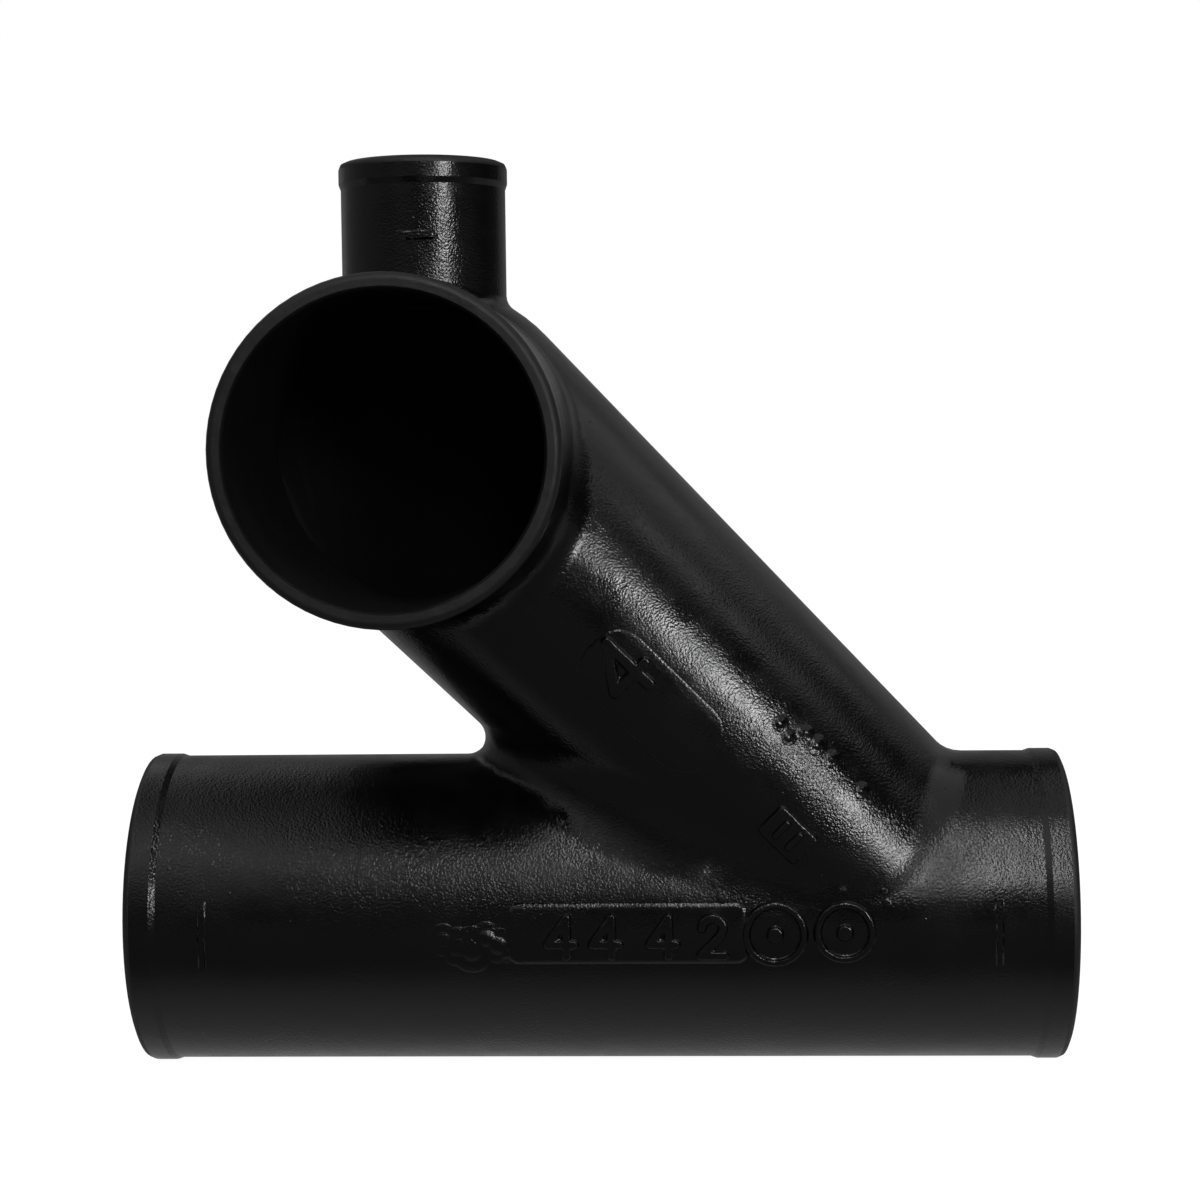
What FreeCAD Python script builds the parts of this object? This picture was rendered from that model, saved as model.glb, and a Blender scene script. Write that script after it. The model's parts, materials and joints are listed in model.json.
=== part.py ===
import FreeCAD, Part
import math
import os
from FreeCAD import Vector

# A double fixture fitting for drain pipe, one iron casting with plain ends.
# Millimetres, +Z up along the vent. The run lies along X and its outlet looks to +X. Waste enters by
# the two inlets along Y, which face each other across the chamber, and falls down the branch to the run.
# It is drawn about the point where the run's and the branch's axes cross, and moved at the end.

# The run and the places of the other ends, measured from the crossing of the axes
RUN_UPSTREAM = 272.0       # crossing to the upstream face
RUN_DOWNSTREAM = 61.5      # crossing to the outlet's face
CHAMBER_OFFSET = 168.0     # crossing to the chamber's centre, both sideways and up
INLET_REACH = 127.0        # chamber's centre to each inlet's face
VENT_REACH = 104.0         # chamber's centre to the vent's face

# The 4 inch ends
BARREL_R = 55.63
PIPE_WALL = 4.83
BEAD_LENGTH = 9.5

# The 2 inch vent
VENT_BARREL_R = 29.85
VENT_WALL = 4.45
VENT_BEAD_LENGTH = 7.7

# Both kinds of end
BEAD_HEIGHT = 0.76         # how far a bead stands out of its barrel
BEAD_RAMP = 2.2            # length of the slope from barrel to bead
RIM_ROUND = 2.6            # outer corner of each rim, dressed in two bevels
RIM_KNUCKLE = 0.3          # where the two bevels meet, as a share of the corner
MOUTH_BREAK = 1.0          # inner corner of each rim
LUG_SETBACK = 28.2         # face to the middle of the raised bar that a coupling stops at
LUG_WIDTH = 3.4
LUG_HEIGHT = 1.3
LUG_ARC = 23.0             # length round the barrel
VENT_LUG_ARC = 13.0

# The branch is a slow cone that ends in a round chamber
BRANCH_WAIST = 2.03        # how much slimmer than the run it is at the crossing
CHAMBER_SWELL = 4.77       # how much stouter than the run it is at the chamber's centre
BRANCH_WALL = 4.9

# Blends outside
HEEL_BLEND = 12.0          # run and branch, on the side of the outlet
CROTCH_BLEND = 7.0         # run and branch, on the upstream side
CHEEK_BLEND = 55.0         # run and branch, on the front and back, where they lie almost in one surface
NECK_BLEND = 14.0          # inlets and chamber
VENT_BLEND = 6.0           # vent and chamber

# The web that parts the two inlets
WEB_THICKNESS = 6.5
WEB_DROP = 75.0            # chamber's centre to the web's nose, down the branch
WEB_COVER = 1.2            # how far the web's top edge stands over the inlets' bores, under the vent

# Where the part's own origin is: on the run's axis, this far inside the outlet's face
OUTLET_DATUM = 5.0

BORE_R = BARREL_R - PIPE_WALL
BEAD_R = BARREL_R + BEAD_HEIGHT
VENT_BORE_R = VENT_BARREL_R - VENT_WALL
VENT_BEAD_R = VENT_BARREL_R + BEAD_HEIGHT
BRANCH_FOOT_R = BARREL_R - BRANCH_WAIST
BRANCH_TOP_R = BARREL_R + CHAMBER_SWELL

X, Y, Z = Vector(1, 0, 0), Vector(0, 1, 0), Vector(0, 0, 1)
CROSSING = Vector(0, 0, 0)
CHAMBER = Vector(-CHAMBER_OFFSET, 0, CHAMBER_OFFSET)
UP_BRANCH = Vector(CHAMBER).normalize()
BRANCH_LENGTH = CHAMBER.Length
FAR = 4 * (RUN_UPSTREAM + RUN_DOWNSTREAM)
PAST_FACE = 5.0            # how far a hollow is drawn past the face that it opens


def turned(points, base, axis, sideways):
    """A solid of revolution. Each point is (along the axis, away from it); two in a tuple make an arc."""
    place = lambda p: base + axis * p[0] + sideways * p[1]
    edges, here = [], place(points[0])
    for step in points[1:]:
        if isinstance(step[0], tuple):
            edges.append(Part.Arc(here, place(step[0]), place(step[1])).toShape())
            here = place(step[1])
        else:
            edges.append(Part.makeLine(here, place(step)))
            here = place(step)
    edges.append(Part.makeLine(here, place(points[0])))
    return Part.Face(Part.Wire(edges)).revolve(base, axis, 360)


def pipe_end(base, axis, sideways, reach, barrel_r, bead_r, bead_length):
    """A round bar from the base to the face of an end, with the bead that stops a coupling's sleeve."""
    start = reach - bead_length
    return turned([(0, 0), (0, barrel_r), (start - BEAD_RAMP, barrel_r), (start, bead_r),
                   (reach - RIM_ROUND, bead_r), (reach - RIM_ROUND * RIM_KNUCKLE, bead_r - RIM_ROUND * RIM_KNUCKLE),
                   (reach, bead_r - RIM_ROUND), (reach, 0)],
                  base, axis, sideways)


def bore_end(base, axis, sideways, reach, bore_r):
    """The hollow of an end, from the base to past its face, with the mouth's broken corner."""
    return turned([(0, 0), (0, bore_r), (reach - MOUTH_BREAK, bore_r), (reach, bore_r + MOUTH_BREAK),
                   (reach + PAST_FACE, bore_r + MOUTH_BREAK), (reach + PAST_FACE, 0)],
                  base, axis, sideways)


def chamber_cone(foot_r, top_r):
    """The branch from the crossing up, closed by a dome that its cone meets without an edge."""
    slope = math.atan2(top_r - foot_r, BRANCH_LENGTH)
    dome_r = top_r * math.cos(slope)
    meet = BRANCH_LENGTH - dome_r * math.sin(slope)
    top = BRANCH_LENGTH + dome_r
    bend = dome_r * math.sqrt(0.5)
    return turned([(0, 0), (0, foot_r), (meet, dome_r * math.cos(slope)),
                   ((BRANCH_LENGTH + bend, bend), (top, 0))],
                  CROSSING, UP_BRANCH, Y * -1)


def on_surface(point, shape):
    """Whether a point lies on the skin of a shape."""
    return Part.Vertex(point).distToShape(Part.makeCompound(shape.Faces))[0] < 0.01


def meeting_edges(shape, bar, bar_test, other):
    """The edges of a joined shape that lie on a round bar and on what the bar was joined to."""
    found = []
    for edge in shape.Edges:
        if edge.Degenerated:
            continue
        first, last = edge.ParameterRange
        points = [edge.valueAt(first + (last - first) * i / 8) for i in range(9)]
        if all(abs(bar_test(p) - bar) < 0.01 for p in points) and all(on_surface(p, other) for p in points):
            found.append(edge)
    return found


def viewer_half(shape):
    """The part of a shape on the viewer's side of the plane that the casting is symmetric about."""
    return shape.common(Part.makeBox(2 * FAR, FAR, 2 * FAR, Vector(-FAR, -FAR, -FAR)))


def saddle_blend(point):
    """The blend's radius at an end of a saddle edge: in the crotch, at the heel or on the cheek between them."""
    if abs(point.y) > BARREL_R / 2:
        return CHEEK_BLEND
    return HEEL_BLEND if point.x > CROSSING.x else CROTCH_BLEND


def blend_saddle(half, branch):
    """The blend where the branch leaves the run. The branch's seam parts its edge on the cheek, and each part's
    radius runs from one end to the other."""
    saddle = meeting_edges(half, BARREL_R, lambda p: math.hypot(p.y, p.z), branch)
    blends = []
    for number, edge in enumerate(half.Edges, 1):
        if any(edge.isSame(part) for part in saddle):
            first, last = edge.ParameterRange
            blends.append((number, saddle_blend(edge.valueAt(first)), saddle_blend(edge.valueAt(last))))
    sheet = FreeCAD.newDocument("saddle")
    plain = sheet.addObject("Part::Feature", "plain_half")
    plain.Shape = half
    blended = sheet.addObject("Part::Fillet", "blended_half")
    blended.Base = plain
    blended.Edges = blends
    sheet.recompute()
    shape = blended.Shape.copy()
    FreeCAD.closeDocument(sheet.Name)
    return shape


def both_halves(half):
    """A half and its mirror image in one solid."""
    return half.fuse(half.mirror(CROSSING, Y)).removeSplitter()


def lug(face, axis, outward, barrel_r, arc):
    """A short raised bar round a barrel, with sloped sides."""
    middle = face - axis * LUG_SETBACK
    sink, top = barrel_r - 1.0, barrel_r + LUG_HEIGHT
    corners = [(-LUG_WIDTH / 2, sink), (-LUG_WIDTH / 2, barrel_r), (-LUG_WIDTH / 4, top),
               (LUG_WIDTH / 4, top), (LUG_WIDTH / 2, barrel_r), (LUG_WIDTH / 2, sink)]
    points = [middle + axis * a + outward * r for a, r in corners]
    section = Part.Face(Part.makePolygon(points + points[:1]))
    sweep = math.degrees(arc / barrel_r)
    bar = section.revolve(middle, axis, sweep)
    bar.rotate(middle, axis, -sweep / 2)
    return bar


def outside():
    """The casting's outer form, solid."""
    run = pipe_end(CROSSING, X, Z, RUN_DOWNSTREAM, BARREL_R, BEAD_R, BEAD_LENGTH)
    run = run.fuse(pipe_end(CROSSING, X * -1, Z, RUN_UPSTREAM, BARREL_R, BEAD_R, BEAD_LENGTH)).removeSplitter()
    branch = chamber_cone(BRANCH_FOOT_R, BRANCH_TOP_R)
    inlet = pipe_end(CHAMBER, Y * -1, Z, INLET_REACH, BARREL_R, BEAD_R, BEAD_LENGTH)
    vent = pipe_end(CHAMBER, Z, X, VENT_REACH, VENT_BARREL_R, VENT_BEAD_R, VENT_BEAD_LENGTH)
    half = viewer_half(run.fuse([branch, inlet]).removeSplitter())
    neck = meeting_edges(half, BARREL_R, lambda p: math.hypot(p.x - CHAMBER.x, p.z - CHAMBER.z), branch)
    half = blend_saddle(half.makeFillet(NECK_BLEND, neck), branch)
    body = both_halves(half)
    joined = body.fuse(vent).removeSplitter()
    foot = meeting_edges(joined, VENT_BARREL_R, lambda p: math.hypot(p.x - CHAMBER.x, p.y), body)
    return joined.makeFillet(VENT_BLEND, foot)


def lugs():
    """The raised bars, front and back on the run and the vent."""
    bars = []
    for side in (Y, Y * -1):
        bars.append(lug(X * RUN_DOWNSTREAM, X, side, BARREL_R, LUG_ARC))
        bars.append(lug(X * -RUN_UPSTREAM, X * -1, side, BARREL_R, LUG_ARC))
        bars.append(lug(CHAMBER + Z * VENT_REACH, Z, side, VENT_BARREL_R, VENT_LUG_ARC))
    return bars


def inside():
    """The hollow of the casting, before the web is left standing in it."""
    run = bore_end(CROSSING, X, Z, RUN_DOWNSTREAM, BORE_R)
    run = run.fuse(bore_end(CROSSING, X * -1, Z, RUN_UPSTREAM, BORE_R)).removeSplitter()
    branch = chamber_cone(BRANCH_FOOT_R - BRANCH_WALL, BRANCH_TOP_R - BRANCH_WALL)
    inlet = bore_end(CHAMBER, Y * -1, Z, INLET_REACH, BORE_R)
    vent = bore_end(CHAMBER, Z, X, VENT_REACH, VENT_BORE_R)
    return run.fuse([branch, inlet, inlet.mirror(CROSSING, Y), vent]).removeSplitter()


def web():
    """The wall on the casting's middle plane, with a round nose down the branch and a round top edge."""
    across = UP_BRANCH.cross(Y) * -1
    wide = BRANCH_TOP_R
    nose = CHAMBER - UP_BRANCH * WEB_DROP
    half_thick = WEB_THICKNESS / 2
    corner_at = nose - across * wide - Y * half_thick
    slab_points = [corner_at, corner_at + Y * WEB_THICKNESS, corner_at + Y * WEB_THICKNESS + across * 2 * wide,
                   corner_at + across * 2 * wide]
    slab = Part.Face(Part.makePolygon(slab_points + slab_points[:1])).extrude(UP_BRANCH * (WEB_DROP + wide))
    slab = slab.fuse(Part.makeCylinder(half_thick, 2 * wide, nose - across * wide, across)).removeSplitter()
    edge_z = CHAMBER.z + BORE_R + WEB_COVER - half_thick
    below = Part.makeBox(2 * FAR, WEB_THICKNESS, FAR, Vector(-FAR, -half_thick, edge_z - FAR))
    crest = Part.makeCylinder(half_thick, 2 * FAR, Vector(-FAR, 0, edge_z), X)
    return slab.common(below.fuse(crest).removeSplitter())


def fitting_body():
    """The whole casting, moved so that its origin is on the axis at the outlet."""
    body = outside().fuse(lugs()).removeSplitter()
    body = body.cut(inside().cut(web()))
    solid = body.Solids[0] if len(body.Solids) == 1 else body
    solid = solid.copy()
    solid.translate(X * (OUTLET_DATUM - RUN_DOWNSTREAM))
    return solid


if __name__ == "__main__":
    body = fitting_body()
    os.makedirs("parts", exist_ok=True)
    body.exportStep("parts/fitting_body.step")
    box = body.BoundBox
    print("solids", len(body.Solids), "valid", body.isValid(), "litres", round(body.Volume / 1e6, 4))
    print("x", round(box.XMin, 2), round(box.XMax, 2), "y", round(box.YMin, 2), round(box.YMax, 2),
          "z", round(box.ZMin, 2), round(box.ZMax, 2))
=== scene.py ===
"""A double fixture fitting in black coated cast iron, dressed and lit for its picture.

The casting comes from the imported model. This script gives it a smooth cast skin and its black coat, adds the
raised marks and small casting faults, and sets up the floor, the lamps and the camera.
"""

import json
import logging
import math
from collections.abc import Callable
from dataclasses import dataclass
from enum import Enum

import bpy
import numpy as np
from mathutils import Matrix, Quaternion, Vector

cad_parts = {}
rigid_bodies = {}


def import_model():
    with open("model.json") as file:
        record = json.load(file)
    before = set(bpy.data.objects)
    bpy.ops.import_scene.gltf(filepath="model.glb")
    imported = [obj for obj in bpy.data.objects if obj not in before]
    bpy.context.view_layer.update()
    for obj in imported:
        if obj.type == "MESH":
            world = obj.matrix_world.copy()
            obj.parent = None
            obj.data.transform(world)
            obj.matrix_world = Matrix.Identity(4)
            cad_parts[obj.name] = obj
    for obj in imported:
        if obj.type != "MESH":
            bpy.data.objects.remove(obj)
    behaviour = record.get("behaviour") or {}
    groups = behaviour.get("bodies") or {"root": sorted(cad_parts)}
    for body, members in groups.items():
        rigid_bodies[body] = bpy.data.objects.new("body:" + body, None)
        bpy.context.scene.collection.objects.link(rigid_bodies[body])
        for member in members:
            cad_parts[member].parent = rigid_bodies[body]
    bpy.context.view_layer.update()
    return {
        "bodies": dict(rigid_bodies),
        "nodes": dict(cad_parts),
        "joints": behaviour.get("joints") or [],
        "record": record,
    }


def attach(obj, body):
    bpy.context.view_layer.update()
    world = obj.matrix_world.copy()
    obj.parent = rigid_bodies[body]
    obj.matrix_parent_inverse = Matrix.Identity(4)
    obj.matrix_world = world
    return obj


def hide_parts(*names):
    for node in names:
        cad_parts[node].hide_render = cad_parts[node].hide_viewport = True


LOG = logging.getLogger("double_fixture_fitting")
MM = 0.001
BODY = "root"
Piece = bpy.types.Object
Socket = bpy.types.NodeSocket


class Seat(Enum):
    """The two forms of the casting that marks stand on."""

    RUN = "run"
    BRANCH = "branch"


class Bench:
    """Hand operations that every piece here is made with."""

    @staticmethod
    def put_down() -> None:
        """Leave edit mode and let go of everything."""
        held = bpy.context.view_layer.objects.active
        if held is not None and held.mode != "OBJECT":
            bpy.ops.object.mode_set(mode="OBJECT")
        bpy.ops.object.select_all(action="DESELECT")

    @staticmethod
    def take(*pieces: Piece) -> None:
        """Select only these pieces, with the first one active.

        Args:
            pieces: The pieces to work on.
        """
        Bench.put_down()
        for piece in pieces:
            piece.select_set(True)
        bpy.context.view_layer.objects.active = pieces[0]

    @staticmethod
    def held() -> Piece:
        """Return the piece that is active."""
        return bpy.context.view_layer.objects.active

    @staticmethod
    def open(piece: Piece) -> None:
        """Take a piece into edit mode with all of it selected.

        Args:
            piece: The mesh to open.
        """
        Bench.take(piece)
        bpy.ops.object.mode_set(mode="EDIT")
        bpy.ops.mesh.select_all(action="SELECT")

    @staticmethod
    def place(piece: Piece, matrix: Matrix) -> None:
        """Move a piece and keep the move in its mesh, so that its object stays at the origin.

        Args:
            piece: The piece to move.
            matrix: Where it goes.
        """
        piece.matrix_world = matrix
        Bench.take(piece)
        bpy.ops.object.transform_apply(location=True, rotation=True, scale=True)

    @staticmethod
    def work(piece: Piece, kind: str, **settings: object) -> None:
        """Add one modifier to a piece and apply it.

        Args:
            piece: The piece to change.
            kind: Blender's name for the modifier.
            settings: The modifier's settings.
        """
        Bench.take(piece)
        modifier = piece.modifiers.new(kind.lower(), kind)
        for name, value in settings.items():
            setattr(modifier, name, value)
        bpy.ops.object.modifier_apply(modifier=modifier.name)

    @staticmethod
    def flat_bar(length: float, width: float, corner: float) -> Piece:
        """Draw a flat bar with round corners about the origin, facing up.

        Args:
            length: Its length along X.
            width: Its width along Y.
            corner: The radius of its corners.

        Returns:
            The flat mesh.
        """
        Bench.put_down()
        bpy.ops.mesh.primitive_plane_add(size=1.0)
        bar = Bench.held()
        Bench.open(bar)
        bpy.ops.transform.resize(value=(length, width, 1.0))
        bpy.ops.mesh.bevel(offset=corner, segments=4, affect="VERTICES")
        Bench.put_down()
        return bar

    @staticmethod
    def disc(radius: float, vertices: int) -> Piece:
        """Draw a flat disc about the origin, facing up."""
        Bench.put_down()
        bpy.ops.mesh.primitive_circle_add(vertices=vertices, radius=radius, fill_type="NGON")
        return Bench.held()

    @staticmethod
    def join(name: str, pieces: list[Piece]) -> Piece:
        """Join pieces into one.

        Args:
            name: The name of the joined piece.
            pieces: What is joined.

        Returns:
            The joined piece.
        """
        Bench.take(*pieces)
        if len(pieces) > 1:
            bpy.ops.object.join()
        joined = Bench.held()
        joined.name = name
        joined.data.name = name
        return joined


def unit(rows: np.ndarray) -> np.ndarray:
    """Bring each row to a length of one."""
    return rows / np.maximum(np.linalg.norm(rows, axis=1), 1e-12)[:, None]


def agree(first: np.ndarray, second: np.ndarray, within: float) -> np.ndarray:
    """Tell for each row whether two directions differ by less than an angle in degrees."""
    return (first * second).sum(axis=1) > math.cos(math.radians(within))


@dataclass(frozen=True)
class AxisForm:
    """A form of the skin that is set out about an axis."""

    base: Vector
    axis: Vector
    radius: float

    def split(self, points: np.ndarray) -> tuple[np.ndarray, np.ndarray]:
        """Split the way from the base to each point into its length along the axis and the rest across it."""
        away = points - np.array(self.base)
        along = away @ np.array(self.axis)
        return along, away - np.outer(along, self.axis)


@dataclass(frozen=True)
class RoundForm(AxisForm):
    """A round form that part of the skin lies on: a tube, a cone or a ball."""

    swell: float = 0.0
    ball: bool = False
    hollow: bool = False
    grip: float = 20.0

    def compare(self, points: np.ndarray) -> tuple[np.ndarray, np.ndarray]:
        """Compare points with the form.

        Args:
            points: One point in each row.

        Returns:
            How far each point is off the form, and the direction straight out of the iron there.
        """
        along, away = self.split(points)
        if self.ball:
            away = points - np.array(self.base)
        out = unit(unit(away) - self.swell * np.array(self.axis))
        off = np.abs(np.linalg.norm(away, axis=1) - self.radius - self.swell * along)
        return off, -out if self.hollow else out


@dataclass(frozen=True)
class RimCorner(AxisForm):
    """A circle on the rounded outer corner of a rim, and how far the iron faces along the axis there."""

    lean: float = 0.0
    grip: float = 50.0

    def compare(self, points: np.ndarray) -> tuple[np.ndarray, np.ndarray]:
        """Compare points with the circle. See RoundForm.compare."""
        along, away = self.split(points)
        turn = math.radians(self.lean)
        out = unit(away) * math.cos(turn) + np.array(self.axis) * math.sin(turn)
        return np.hypot(along, np.linalg.norm(away, axis=1) - self.radius), out


@dataclass(frozen=True)
class PipeEnd:
    """One of the five ends of the casting."""

    base: Vector
    out: Vector
    reach: float
    radius: float
    bore: float
    bead_length: float


@dataclass(frozen=True)
class CastingForm:
    """The main forms of the casting, in metres in the part's own frame."""

    crossing_x: float = -56.5 * MM
    run_radius: float = 55.63 * MM
    run_bore: float = 50.8 * MM
    vent_radius: float = 29.85 * MM
    vent_bore: float = 25.4 * MM
    bead: float = 0.76 * MM
    lug: float = 1.3 * MM
    branch_foot_radius: float = 53.6 * MM
    branch_top_radius: float = 60.4 * MM
    branch_wall: float = 4.9 * MM
    chamber_offset: float = 168.0 * MM
    run_upstream: float = 272.0 * MM
    run_downstream: float = 61.5 * MM
    inlet_reach: float = 127.0 * MM
    vent_reach: float = 104.0 * MM
    bead_length: float = 9.5 * MM
    vent_bead_length: float = 7.7 * MM
    bead_ramp: float = 2.2 * MM
    rim_round: float = 2.6 * MM
    rim_knuckle: float = 0.3
    rim_facing: float = 0.3
    inside_slack: float = 0.7 * MM
    floor_z: float = -56.39 * MM

    @property
    def crossing(self) -> Vector:
        """Return the point where the axes of the run and the branch cross."""
        return Vector((self.crossing_x, 0.0, 0.0))

    @property
    def chamber(self) -> Vector:
        """Return the chamber's centre."""
        return self.crossing + Vector((-self.chamber_offset, 0.0, self.chamber_offset))

    @property
    def up_branch(self) -> Vector:
        """Return the direction of the branch, from the run to the chamber."""
        return Vector((-1.0, 0.0, 1.0)).normalized()

    @property
    def branch_length(self) -> float:
        """Return the distance from the crossing to the chamber's centre."""
        return self.chamber_offset * math.sqrt(2.0)

    def branch_radius(self, along: float) -> float:
        """Return the branch's outer radius at a distance from the crossing."""
        share = min(max(along / self.branch_length, 0.0), 1.0)
        return self.branch_foot_radius + share * (self.branch_top_radius - self.branch_foot_radius)

    def seat(self, seat: Seat, along: float, above_front: float) -> tuple[Vector, Vector]:
        """Find a place on the outer skin.

        Args:
            seat: The run or the branch.
            along: For the run, x. For the branch, the distance from the crossing.
            above_front: The angle round the form from its front, in degrees, up or away from the run.

        Returns:
            The point on the skin and the direction straight out of it.
        """
        turn = math.radians(above_front)
        if seat is Seat.RUN:
            out = Vector((0.0, -math.cos(turn), math.sin(turn)))
            return Vector((along, 0.0, 0.0)) + out * self.run_radius, out
        across = Vector((1.0, 0.0, 1.0)).normalized()
        out = across * math.sin(turn) - Vector((0.0, 1.0, 0.0)) * math.cos(turn)
        return self.crossing + self.up_branch * along + out * self.branch_radius(along), out

    def ends(self) -> list[PipeEnd]:
        """List the run's two ends, the two inlets and the vent."""
        run, inlet = (self.run_radius, self.run_bore, self.bead_length), self.inlet_reach
        return [
            PipeEnd(self.crossing, Vector((1.0, 0.0, 0.0)), self.run_downstream, *run),
            PipeEnd(self.crossing, Vector((-1.0, 0.0, 0.0)), self.run_upstream, *run),
            PipeEnd(self.chamber, Vector((0.0, -1.0, 0.0)), inlet, *run),
            PipeEnd(self.chamber, Vector((0.0, 1.0, 0.0)), inlet, *run),
            PipeEnd(self.chamber, Vector((0.0, 0.0, 1.0)), self.vent_reach, self.vent_radius, self.vent_bore,
                    self.vent_bead_length),
        ]

    def round_forms(self) -> list[RoundForm | RimCorner]:
        """List every round form of the skin, outside and inside, with the narrowest first."""
        forms: list[RoundForm | RimCorner] = []
        knuckle = self.rim_round * self.rim_knuckle
        for end in self.ends():
            top = end.radius + self.bead
            for back, inward, lean in ((self.rim_round, 0.0, 0.0), (knuckle, knuckle, 45.0),
                                       (0.0, self.rim_round, 90.0)):
                forms.append(RimCorner(end.base + end.out * (end.reach - back), end.out, top - inward, lean))
            ramp = end.base + end.out * (end.reach - end.bead_length - self.bead_ramp)
            forms.append(RoundForm(ramp, end.out, end.radius, self.bead / self.bead_ramp, grip=8.0))
        for end in self.ends():
            forms += [RoundForm(end.base, end.out, end.radius + more) for more in (0.0, self.bead, self.lug)]
            forms.append(RoundForm(end.base, end.out, end.bore, hollow=True))
        swell = (self.branch_top_radius - self.branch_foot_radius) / self.branch_length
        for wall, hollow in ((0.0, False), (self.branch_wall, True)):
            forms.append(RoundForm(self.crossing, self.up_branch, self.branch_foot_radius - wall, swell, hollow=hollow))
            ball = (self.branch_top_radius - wall) * math.cos(math.atan(swell))
            forms.append(RoundForm(self.chamber, self.up_branch, ball, ball=True, hollow=hollow))
        return forms

    def is_rim(self, point: Vector, facing: Vector) -> bool:
        """Tell whether a face, by its centre and the way it faces, is on the rim of an end or on its rounding."""
        return any((point - end.base).dot(end.out) > end.reach - self.rim_round
                   and facing.dot(end.out) > self.rim_facing for end in self.ends())

    def is_inside(self, point: Vector) -> bool:
        """Tell whether a point of the skin belongs to the water way.

        Args:
            point: The centre of a face.

        Returns:
            True on the bores, in the chamber and on the web.
        """
        from_crossing, from_chamber = point - self.crossing, point - self.chamber
        run, vent = self.run_bore + self.inside_slack, self.vent_bore + self.inside_slack
        if math.hypot(point.y, point.z) < run or math.hypot(from_chamber.x, from_chamber.z) < run:
            return True
        if point.z > self.chamber.z and math.hypot(from_chamber.x, point.y) < vent:
            return True
        along = from_crossing.dot(self.up_branch)
        if along <= 0.0:
            return False
        past_chamber = along >= self.branch_length
        away = (from_chamber if past_chamber else from_crossing - self.up_branch * along).length
        return away < self.branch_radius(along) - self.branch_wall + self.inside_slack


@dataclass
class NodeSheet:
    """A node tree, with short ways to add and wire its nodes."""

    tree: bpy.types.NodeTree

    @classmethod
    def blank(cls, owner: bpy.types.ID) -> "NodeSheet":
        """Empty the nodes of a material, a lamp or the world, and return them as a sheet."""
        owner.use_nodes = True
        owner.node_tree.nodes.clear()
        return cls(owner.node_tree)

    def add(self, kind: str, inputs: dict[str, object] | None = None, **settings: object) -> bpy.types.Node:
        """Add a node.

        Args:
            kind: Blender's name for the node.
            inputs: Sockets or values for its inputs, by name.
            settings: Properties of the node.

        Returns:
            The new node.
        """
        node = self.tree.nodes.new(kind)
        for name, value in settings.items():
            setattr(node, name, value)
        for name, value in (inputs or {}).items():
            self.wire(value, node.inputs[name])
        return node

    def wire(self, source: object, target: Socket) -> None:
        """Link a socket to another one, or set a plain value on it."""
        if isinstance(source, Socket):
            self.tree.links.new(source, target)
        else:
            target.default_value = source

    def math(self, operation: str, first: object, second: object = 0.0, clamp: bool = False) -> Socket:
        """Add a Math node.

        Args:
            operation: The operation's name.
            first: A socket or a number.
            second: A socket or a number.
            clamp: Whether the result stays between 0 and 1.

        Returns:
            The result's socket.
        """
        node = self.add("ShaderNodeMath", operation=operation, use_clamp=clamp)
        for socket, value in zip(node.inputs, (first, second)):
            self.wire(value, socket)
        return node.outputs[0]

    def scaled(self, vector: Socket, factor: object) -> Socket:
        """Multiply a vector by a number or a value socket, and return the result's socket."""
        return self.add("ShaderNodeVectorMath", {"Vector": vector, "Scale": factor}, operation="SCALE").outputs[0]

    def noise(self, vector: Socket, scale: float, detail: float, rough: float = 0.5,
              distortion: float = 0.0) -> Socket:
        """Add a Noise Texture and return its value socket."""
        return self.add("ShaderNodeTexNoise", {"Vector": vector, "Scale": scale, "Detail": detail,
                                               "Roughness": rough, "Distortion": distortion}).outputs[0]

    def steps(self, value: Socket, low: float, high: float, start: float = 0.0,
              end: float = 1.0) -> Socket:
        """Map a value smoothly from one range to another, and return the result's socket."""
        return self.add("ShaderNodeMapRange", {"Value": value, "From Min": low, "From Max": high, "To Min": start,
                                               "To Max": end}, interpolation_type="SMOOTHSTEP").outputs[0]


@dataclass
class EffectGroup:
    """A shader node group that several finishes share, built once."""

    name: str
    amounts: dict[str, float]
    results: tuple[str, ...]

    def sheet(self) -> tuple[NodeSheet, bpy.types.Node, bpy.types.Node]:
        """Make the empty group with its sockets.

        Returns:
            The sheet to draw on, the group's input node and its output node.
        """
        tree = bpy.data.node_groups.new(self.name, "ShaderNodeTree")
        tree.interface.new_socket(name="Vector", in_out="INPUT", socket_type="NodeSocketVector")
        for name, value in self.amounts.items():
            amount = tree.interface.new_socket(name=name, in_out="INPUT", socket_type="NodeSocketFloat")
            amount.default_value = value
        for name in self.results:
            tree.interface.new_socket(name=name, in_out="OUTPUT", socket_type="NodeSocketFloat")
        sheet = NodeSheet(tree)
        return sheet, sheet.add("NodeGroupInput"), sheet.add("NodeGroupOutput")


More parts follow.
